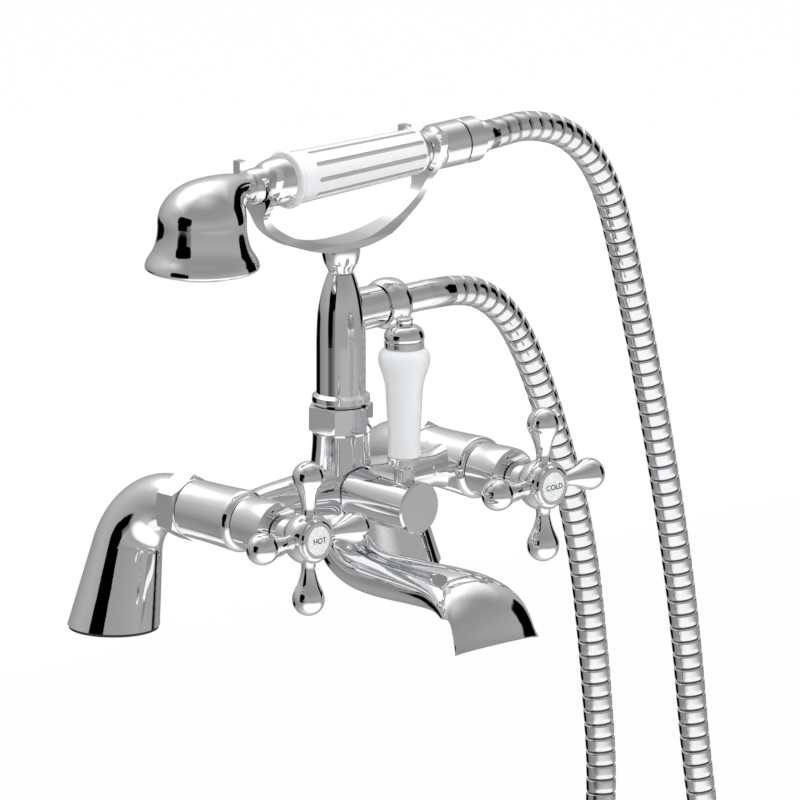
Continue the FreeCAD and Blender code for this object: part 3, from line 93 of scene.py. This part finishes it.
def add_mesh(name, vertices, faces, material, smooth=True):
    mesh = bpy.data.meshes.new(name)
    mesh.from_pydata([tuple(v) for v in vertices], [], faces)
    mesh.validate()
    piece = bpy.data.objects.new(name, mesh)
    scene.collection.objects.link(piece)
    for polygon in mesh.polygons:
        polygon.use_smooth = smooth
    mesh.materials.append(material)
    return piece


def rings_to_faces(ring_count, sides):
    """Quads between rings of points that follow one another."""
    faces = []
    for i in range(ring_count - 1):
        for j in range(sides):
            k = (j + 1) % sides
            faces.append((i * sides + j, i * sides + k, (i + 1) * sides + k, (i + 1) * sides + j))
    return faces


# Hose: its route in X and Z, in millimetres, and its ribs

hose_diameter = 15.0 * MM
hose_ribs = 200
hose_sides = 48
hose_lower_cuff = 17 * MM
hose_upper_cuff = 7 * MM
hose_lip = 0.6 * MM
groove_share = 0.87
path_steps = 40
# Points of its route in X and Z, in millimetres
hose_route = [
    (56.0, 156.3), (82.0, 156.3), (105.5, 145.3), (122.3, 125.3), (139.8, 89.3),
    (164.3, 18.3), (174.5, -52.7), (181.5, -132.7), (163.0, -218.7), (142.5, -299.7),
    (126.5, -360.7), (145.5, -409.7), (188.5, -439.7), (240.5, -439.7), (283.5, -409.7),
    (302.0, -360.7), (286.5, -299.7), (266.0, -218.7), (246.5, -132.7), (236.0, -32.7),
    (214.5, 73.3), (194.5, 153.3), (181.5, 195.3), (159.0, 222.3), (128.0, 232.8),
    (104.0, 231.3), (96.0, 231.3),
]


def hose_path():
    """Points along the route's NURBS spline, close together."""
    curve = bpy.data.curves.new("hose_route", "CURVE")
    curve.dimensions = "3D"
    spline = curve.splines.new("NURBS")
    spline.points.add(len(hose_route) - 1)
    for point, (x, z) in zip(spline.points, hose_route):
        point.co = (x * MM, body_y, z * MM, 1.0)
    spline.order_u = 3
    spline.use_endpoint_u = True
    spline.resolution_u = path_steps
    guide = bpy.data.objects.new("hose_route", curve)
    scene.collection.objects.link(guide)
    line = bpy.data.meshes.new_from_object(guide)
    points = [v.co.copy() for v in line.vertices]
    bpy.data.objects.remove(guide)
    bpy.data.meshes.remove(line)
    bpy.data.curves.remove(curve)
    return points


def along(points):
    """Function from a distance along a line of points to the place and direction there."""
    reach = [0.0]
    for a, b in zip(points, points[1:]):
        reach.append(reach[-1] + (b - a).length)

    def place(distance):
        low, high = 0, len(points) - 2
        while low < high:
            middle = (low + high + 1) // 2
            if reach[middle] <= distance:
                low = middle
            else:
                high = middle - 1
        share = (distance - reach[low]) / (reach[low + 1] - reach[low])
        before, after = points[max(low - 1, 0)], points[min(low + 2, len(points) - 1)]
        here = points[low].lerp(points[low + 1], share)
        start = (points[low + 1] - before).normalized()
        end = (after - points[low]).normalized()
        return here, start.lerp(end, share).normalized()

    return place, reach[-1]


# Share of a rib's pitch and share of the hose's radius: a wide lip, a band and a groove
rib_profile = [
    (0.0, 0.90), (0.02, 0.985), (0.06, 1.0), (0.1, 1.0), (0.5, 0.995), (0.78, 0.985),
    (0.845, 0.955), (0.86, 0.90), (0.87, groove_share), (0.99, groove_share),
]
# From this share of the ribs on, past the loop, they face the other way
ribs_turn_at = 0.55


def hose_stations(total, radius):
    """Distance along the hose and radius of each ring: a cuff, the ribs and a cuff."""
    pitch = (total - hose_lower_cuff - hose_upper_cuff) / hose_ribs
    stations = [
        (0.0, radius * 0.99),
        (0.4 * MM, radius),
        (hose_lower_cuff - hose_lip, radius),
        (hose_lower_cuff - hose_lip / 3, radius * 0.96),
        (hose_lower_cuff, radius * 0.9),
    ]
    for rib in range(hose_ribs):
        start = hose_lower_cuff + rib * pitch
        profile = rib_profile
        if rib > hose_ribs * ribs_turn_at:
            profile = [(1 - share, r) for share, r in reversed(profile)]
        stations += [(start + share * pitch, radius * r) for share, r in profile]
    return stations + [(total - hose_upper_cuff + hose_lip / 2, radius), (total, radius)]


def add_hose(material, groove_shade_material):
    points = hose_path()
    place, total = along(points)
    radius = hose_diameter / 2
    stations = hose_stations(total, radius)
    steady = Vector((0, 1, 0))
    vertices = []
    for distance, r in stations:
        here, direction = place(distance)
        side = direction.cross(steady).normalized()
        for j in range(hose_sides):
            angle = 2 * math.pi * j / hose_sides
            vertices.append(here + (steady * math.cos(angle) + side * math.sin(angle)) * r)
    hose = add_mesh("hose", vertices, rings_to_faces(len(stations), hose_sides), material)
    # The bottom of each groove takes a second, near-black material: painted shade between the ribs
    hose.data.materials.append(groove_shade_material)
    for ring, (start, end) in enumerate(zip(stations, stations[1:])):
        if max(start[1], end[1]) < radius * (groove_share + 0.01):
            for polygon in hose.data.polygons[ring * hose_sides:(ring + 1) * hose_sides]:
                polygon.material_index = 1
    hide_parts("shower_hose")
    end = points[-1]
    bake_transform(hose)


# Materials

def new_material(name):
    material = bpy.data.materials.new(name)
    material.use_nodes = True
    tree = material.node_tree
    shader = tree.nodes["Principled BSDF"]
    return material, tree, shader


def math_node(tree, operation, *values):
    node = tree.nodes.new("ShaderNodeMath")
    node.operation = operation
    for socket, value in zip(node.inputs, values):
        if isinstance(value, (int, float)):
            socket.default_value = value
        else:
            tree.links.new(value, socket)
    return node.outputs[0]


def smooth_step(tree, value, start, end):
    """0 before the start, 1 after the end, and a soft rise between; the start may lie higher."""
    node = tree.nodes.new("ShaderNodeMapRange")
    node.interpolation_type = "SMOOTHSTEP"
    node.inputs["From Min"].default_value = start
    node.inputs["From Max"].default_value = end
    tree.links.new(value, node.inputs["Value"])
    return node.outputs["Result"]


def mix_tones(tree, share, first, second):
    node = tree.nodes.new("ShaderNodeMix")
    node.data_type = "RGBA"
    for socket, value in (("Factor", share), ("A", first), ("B", second)):
        if isinstance(value, (int, float)):
            node.inputs[socket].default_value = (value, value, value, 1)
        else:
            tree.links.new(value, node.inputs[socket])
    return node.outputs["Result"]


def noise(tree, scale, detail=4.0):
    """Soft noise that stays with the piece."""
    place = tree.nodes.new("ShaderNodeTexCoord")
    texture = tree.nodes.new("ShaderNodeTexNoise")
    texture.inputs["Scale"].default_value = scale
    texture.inputs["Detail"].default_value = detail
    tree.links.new(place.outputs["Object"], texture.inputs["Vector"])
    return texture.outputs["Fac"]


def ramp(tree, value, stops):
    """Colour between stops of (position, colour)."""
    node = tree.nodes.new("ShaderNodeValToRGB")
    node.color_ramp.elements[0].position = stops[0][0]
    node.color_ramp.elements[0].color = (*stops[0][1], 1)
    node.color_ramp.elements[1].position = stops[-1][0]
    node.color_ramp.elements[1].color = (*stops[-1][1], 1)
    for position, colour in stops[1:-1]:
        node.color_ramp.elements.new(position).color = (*colour, 1)
    tree.links.new(value, node.inputs["Fac"])
    return node.outputs["Color"]


def spread(tree, value, low, high):
    """A value between 0 and 1 spread over a range."""
    node = tree.nodes.new("ShaderNodeMapRange")
    node.inputs["To Min"].default_value = low
    node.inputs["To Max"].default_value = high
    tree.links.new(value, node.inputs["Value"])
    return node.outputs["Result"]


def bump(tree, value, shader, strength, distance):
    node = tree.nodes.new("ShaderNodeBump")
    node.inputs["Strength"].default_value = strength
    node.inputs["Distance"].default_value = distance
    tree.links.new(value, node.inputs["Height"])
    tree.links.new(node.outputs["Normal"], shader.inputs["Normal"])


def chrome(name, light, dark, rough):
    """Polished plating: nearly even, with faint clouds in its tone and its gloss."""
    material, tree, shader = new_material(name)
    shader.inputs["Metallic"].default_value = 1.0
    cloud = noise(tree, 35.0)
    tree.links.new(ramp(tree, cloud, [(0.3, dark), (0.7, light)]), shader.inputs["Base Color"])
    tree.links.new(spread(tree, noise(tree, 90.0), rough * 0.7, rough * 1.3), shader.inputs["Roughness"])
    bump(tree, noise(tree, 60.0, 2.0), shader, 0.02, 0.0002)
    return material


def glazed_ceramic(name, light, dark):
    """White glaze over a faintly uneven body."""
    material, tree, shader = new_material(name)
    shader.inputs["Coat Weight"].default_value = 0.6
    shader.inputs["Coat Roughness"].default_value = 0.03
    cloud = noise(tree, 45.0)
    tree.links.new(ramp(tree, cloud, [(0.3, dark), (0.7, light)]), shader.inputs["Base Color"])
    tree.links.new(spread(tree, noise(tree, 120.0), 0.08, 0.16), shader.inputs["Roughness"])
    bump(tree, noise(tree, 150.0, 3.0), shader, 0.03, 0.0002)
    return material


# Cone of the handset's grip between its two beads, along X
grip_big_r, grip_small_r = 13.3 * MM, 11.6 * MM
grip_taper_start, grip_taper_end = -35.2 * MM, 48.6 * MM
# Depth under the cone where a groove starts to turn grey, and where it is
groove_top, groove_deep = 0.08 * MM, 0.3 * MM


def in_grip_grooves(tree):
    """1 in the grooves along the cone of the grip, and 0 elsewhere on it."""
    low, high = (Vector(corner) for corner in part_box("handset_grip"))
    place = tree.nodes.new("ShaderNodeTexCoord")
    split = tree.nodes.new("ShaderNodeSeparateXYZ")
    tree.links.new(place.outputs["Object"], split.inputs[0])
    x, y, z = split.outputs
    squares = [
        math_node(tree, "POWER", math_node(tree, "SUBTRACT", value, middle), 2)
        for value, middle in ((y, (low.y + high.y) / 2), (z, (low.z + high.z) / 2))
    ]
    radius = math_node(tree, "SQRT", math_node(tree, "ADD", *squares))
    narrowing = (grip_big_r - grip_small_r) / (grip_taper_end - grip_taper_start)
    run = math_node(tree, "SUBTRACT", x, grip_taper_start)
    cone = math_node(tree, "SUBTRACT", grip_big_r, math_node(tree, "MULTIPLY", run, narrowing))
    deep = smooth_step(tree, math_node(tree, "SUBTRACT", cone, radius), groove_top, groove_deep)
    after_start = smooth_step(tree, x, grip_taper_start - 0.2 * MM, grip_taper_start + 0.2 * MM)
    before_end = smooth_step(tree, x, grip_taper_end - 0.3 * MM, grip_taper_end - 0.5 * MM)
    return math_node(tree, "MULTIPLY", deep, math_node(tree, "MULTIPLY", after_start, before_end))


def grooved_ceramic(name, light, dark, groove):
    """The glaze of the handset's grip, grey in the grooves along its cone."""
    material = glazed_ceramic(name, light, dark)
    tree = material.node_tree
    colour = tree.nodes["Principled BSDF"].inputs["Base Color"]
    cloud = colour.links[0].from_socket
    tree.links.new(mix_tones(tree, in_grip_grooves(tree), cloud, groove), colour)
    return material


def dull(name, light, dark, rough, metallic=0.0, scale=200.0):
    """Plain rubber, plastic, brass or steel with a fine grain."""
    material, tree, shader = new_material(name)
    shader.inputs["Metallic"].default_value = metallic
    grain = noise(tree, scale)
    tree.links.new(ramp(tree, grain, [(0.3, dark), (0.7, light)]), shader.inputs["Base Color"])
    tree.links.new(spread(tree, grain, rough * 0.8, rough * 1.2), shader.inputs["Roughness"])
    bump(tree, noise(tree, scale * 3), shader, 0.1, 0.0002)
    return material


def make_materials():
    """A material for each slot of the record, and for what one slot has in two looks; the hose's second
    look is a near-black plating, painted shade in its grooves.
    """
    glaze = (0.86, 0.87, 0.885), (0.83, 0.84, 0.855)
    return {
        "chrome": chrome("chrome", (0.88, 0.885, 0.895), (0.85, 0.855, 0.865), 0.03),
        "hose_chrome": chrome("hose_chrome", (0.78, 0.785, 0.795), (0.73, 0.735, 0.745), 0.06),
        # Near-black plating for the bottoms of the hose's grooves: painted shade between the ribs
        "hose_groove_shade": chrome("hose_groove_shade", (0.16, 0.16, 0.165), (0.1, 0.1, 0.105), 0.25),
        "ceramic": glazed_ceramic("ceramic", *glaze),
        "grooved": grooved_ceramic("grooved_ceramic", *glaze, 0.42),
        "technical_ceramic": dull("technical_ceramic", (0.86, 0.85, 0.82), (0.8, 0.79, 0.76), 0.35),
        "brass": dull("brass", (0.78, 0.60, 0.30), (0.70, 0.52, 0.24), 0.3, 1.0),
        "rubber": dull("rubber", (0.035, 0.035, 0.036), (0.02, 0.02, 0.021), 0.6),
        "white_plastic": dull("white_plastic", (0.82, 0.82, 0.81), (0.76, 0.76, 0.75), 0.4),
        "steel": dull("steel", (0.6, 0.6, 0.61), (0.5, 0.5, 0.51), 0.3, 1.0),
        "ink": dull("ink", (0.03, 0.03, 0.03), (0.015, 0.015, 0.015), 0.35),
    }


def dress_nodes(materials):
    """Each CAD node gets the material of its slot in the record, the grip the grooved one."""
    for part in frame["record"]["subparts"]:
        node = frame["nodes"][part["node"]]
        node.data.materials.clear()
        slot = "grooved" if part["node"] == "handset_grip" else part["material_slot"]
        node.data.materials.append(materials[slot])


# Lettering on the two indices

letter_height = 2.9 * MM
font_size_per_height = 1.4
letter_thickness = 0.03 * MM
letter_gap = 0.05 * MM


def add_word(word, node, body, material):
    """A word laid flat just proud of an index's face, facing the front."""
    low, high = (Vector(corner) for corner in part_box(node))
    text = bpy.data.curves.new(word.lower() + "_word", "FONT")
    text.body = word
    text.align_x = "CENTER"
    text.align_y = "CENTER"
    text.size = letter_height * font_size_per_height
    text.extrude = letter_thickness
    label = bpy.data.objects.new(word.lower() + "_word", text)
    scene.collection.objects.link(label)
    label.rotation_euler = (math.pi / 2, 0, 0)
    label.location = ((low.x + high.x) / 2, low.y - letter_gap, (low.z + high.z) / 2)
    text.materials.append(material)
    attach(label, body)


# Studio: what the metal and the ceramic see round the object. Its directions are degrees
# sideways from the camera, to the right, and degrees above the horizon.

# Grey at each height, on the camera's side and behind the object
front_tones = [
    (-90, 0.9), (-60, 0.62), (-45, 0.52), (-30, 0.38), (-5, 0.4), (6, 0.43), (25, 0.34),
    (45, 0.31), (56, 0.34), (66, 0.46), (78, 0.62), (90, 0.75),
]
back_tones = [
    (-90, 0.9), (-60, 0.6), (-45, 0.4), (-30, 0.3), (-16, 0.25), (-4, 0.34), (14, 0.49),
    (25, 0.58), (36, 0.8), (42, 1.3), (68, 1.4), (80, 1.05), (90, 0.7),
]
# Rounded patches in it: middle sideways and upwards, reach sideways and upwards, softness,
# tone and share
studio_patches = [
    (40, -80, 88, 62, 0.5, 1.2, 1.0),
    (-46, -4, 18, 14, 0.8, 0.1, 0.75),
    (-47, 15, 20, 12, 0.1, 0.0, 1.0),
    (-51, -2, 13, 12, 0.6, 0.0, 1.0),
    (121, 7, 16, 18, 0.3, 0.0, 1.0),
    (-136, -18, 22, 11, 0.3, 0.0, 1.0),
]
# Middle of the front, and how far sideways from it the front ends and the back begins
front_side, front_reach, back_reach = 30, 70, 150


def studio_tone(tree, direction):
    """Grey of the studio in a direction: a front, a back and the patches over them."""
    turn = tree.nodes.new("ShaderNodeVectorRotate")
    turn.rotation_type = "Z_AXIS"
    turn.inputs["Angle"].default_value = math.pi / 2 - azimuth
    tree.links.new(direction, turn.inputs["Vector"])
    split = tree.nodes.new("ShaderNodeSeparateXYZ")
    tree.links.new(turn.outputs[0], split.inputs[0])
    x, y, z = split.outputs
    sideways = math_node(tree, "MULTIPLY", math_node(tree, "ARCTAN2", y, x), 180 / math.pi)
    height = math_node(tree, "MULTIPLY", math_node(tree, "ARCSINE", z), 180 / math.pi)
    level = math_node(tree, "DIVIDE", math_node(tree, "ADD", height, 90), 180)
    front, back = (
        ramp(tree, level, [((at + 90) / 180, (grey,) * 3) for at, grey in tones])
        for tones in (front_tones, back_tones)
    )
    aside = math_node(tree, "ABSOLUTE", math_node(tree, "SUBTRACT", sideways, front_side))
    tone = mix_tones(tree, smooth_step(tree, aside, front_reach, back_reach), front, back)
    for across, up, reach_across, reach_up, soft, grey, share in studio_patches:
        offsets = []
        for value, middle, reach in ((sideways, across, reach_across), (height, up, reach_up)):
            offset = math_node(tree, "DIVIDE", math_node(tree, "SUBTRACT", value, middle), reach)
            offsets.append(math_node(tree, "POWER", math_node(tree, "ABSOLUTE", offset), 4))
        inside = smooth_step(tree, math_node(tree, "ADD", *offsets), 1 + soft, 1 - soft)
        tone = mix_tones(tree, math_node(tree, "MULTIPLY", inside, share), tone, grey)
    return tone


def add_world():
    """White behind the object for the camera, and the studio for everything else."""
    world = bpy.data.worlds.new("studio")
    scene.world = world
    world.use_nodes = True
    tree = world.node_tree
    place = tree.nodes.new("ShaderNodeTexCoord")
    rays = tree.nodes.new("ShaderNodeLightPath")
    tone = studio_tone(tree, place.outputs["Generated"])
    seen = mix_tones(tree, rays.outputs["Is Camera Ray"], tone, 1.0)
    tree.links.new(seen, tree.nodes["Background"].inputs["Color"])


# Stage: a floor on two levels, and lamps

slab_thickness = 0.01
floor_z = -0.475
shelf_top, shelf_bottom = -0.1 * MM, -7.9 * MM
shelf_edge, front_edge = -0.036, -0.031
stage_side, stage_front, stage_back = 4, -4, 6
camera_white = 0.97


def stage_white():
    """Pale matt stage that the camera sees as nearly white and the metal as part of the studio."""
    material, tree, shader = new_material("stage_white")
    shader.inputs["Base Color"].default_value = (0.8, 0.8, 0.8, 1)
    shader.inputs["Roughness"].default_value = 0.9
    rays = tree.nodes.new("ShaderNodeLightPath")
    straight = rays.outputs["Is Camera Ray"], rays.outputs["Is Transmission Ray"]
    seen = math_node(tree, "MAXIMUM", *straight)
    white = tree.nodes.new("ShaderNodeEmission")
    white.inputs["Color"].default_value = (1, 1, 1, 1)
    seen = math_node(tree, "MULTIPLY", seen, camera_white)
    surface = blend_shaders(tree, seen, shader, white)
    place = tree.nodes.new("ShaderNodeNewGeometry")
    outward = tree.nodes.new("ShaderNodeVectorMath")
    outward.operation = "SCALE"
    outward.inputs["Scale"].default_value = -1.0
    tree.links.new(place.outputs["Incoming"], outward.inputs[0])
    studio = tree.nodes.new("ShaderNodeEmission")
    tree.links.new(studio_tone(tree, outward.outputs[0]), studio.inputs["Color"])
    surface = blend_shaders(tree, rays.outputs["Is Glossy Ray"], surface, studio)
    tree.links.new(surface.outputs[0], tree.nodes["Material Output"].inputs["Surface"])
    return material


def blend_shaders(tree, share, first, second):
    mix = tree.nodes.new("ShaderNodeMixShader")
    tree.links.new(share, mix.inputs["Fac"])
    tree.links.new(first.outputs[0], mix.inputs[1])
    tree.links.new(second.outputs[0], mix.inputs[2])
    return mix


def add_slab(name, low, high, material):
    corners = [Vector((x, y, z)) for z in (low[2], high[2]) for y in (low[1], high[1])
               for x in (low[0], high[0])]
    faces = [(0, 1, 3, 2), (4, 6, 7, 5), (0, 4, 5, 1), (2, 3, 7, 6), (0, 2, 6, 4), (1, 5, 7, 3)]
    slab = add_mesh(name, corners, faces, material, smooth=False)


def add_stage():
    """Low floor in front, under the hose, and a wide shelf behind it that the tap stands on."""
    white = stage_white()
    floor_low = (-stage_side, stage_front, floor_z - slab_thickness)
    add_slab("floor", floor_low, (stage_side, stage_back, floor_z), white)
    shelf_high = (stage_side, stage_back, shelf_top)
    add_slab("shelf", (-stage_side, shelf_edge, shelf_bottom), shelf_high, white)
    front_high = (stage_side, front_edge, shelf_bottom - 0.1 * MM)
    add_slab("shelf_front", (-stage_side, shelf_edge, floor_z), front_high, white)


def add_lamp(name, place, size_x, size_y, power):
    """A soft lamp aimed at the body, which no reflection shows."""
    aim = Vector((0, body_y, 0.1))
    lamp = bpy.data.lights.new(name, "AREA")
    lamp.shape = "RECTANGLE"
    lamp.size = size_x
    lamp.size_y = size_y
    lamp.energy = power
    holder = bpy.data.objects.new(name, lamp)
    scene.collection.objects.link(holder)
    holder.location = place
    holder.rotation_euler = (aim - Vector(place)).to_track_quat("-Z", "Y").to_euler()
    holder.visible_glossy = False


def add_light():
    add_lamp("key", (-1.6, -1.6, 1.8), 1.4, 1.4, 34)
    add_lamp("fill", (1.8, -1.8, 0.9), 0.9, 1.8, 16)
    add_lamp("top", (0.2, 0.2, 2.2), 1.8, 1.2, 24)


add_camera()
materials = make_materials()
add_hose(materials["hose_chrome"], materials["hose_groove_shade"])
dress_nodes(materials)
add_word("HOT", "hot_index_disc", "hot_handle_set", materials["ink"])
add_word("COLD", "cold_index_disc", "cold_handle_set", materials["ink"])
add_stage()
add_world()
add_light()

scene.view_settings.view_transform = "Standard"
bpy.context.view_layer.update()
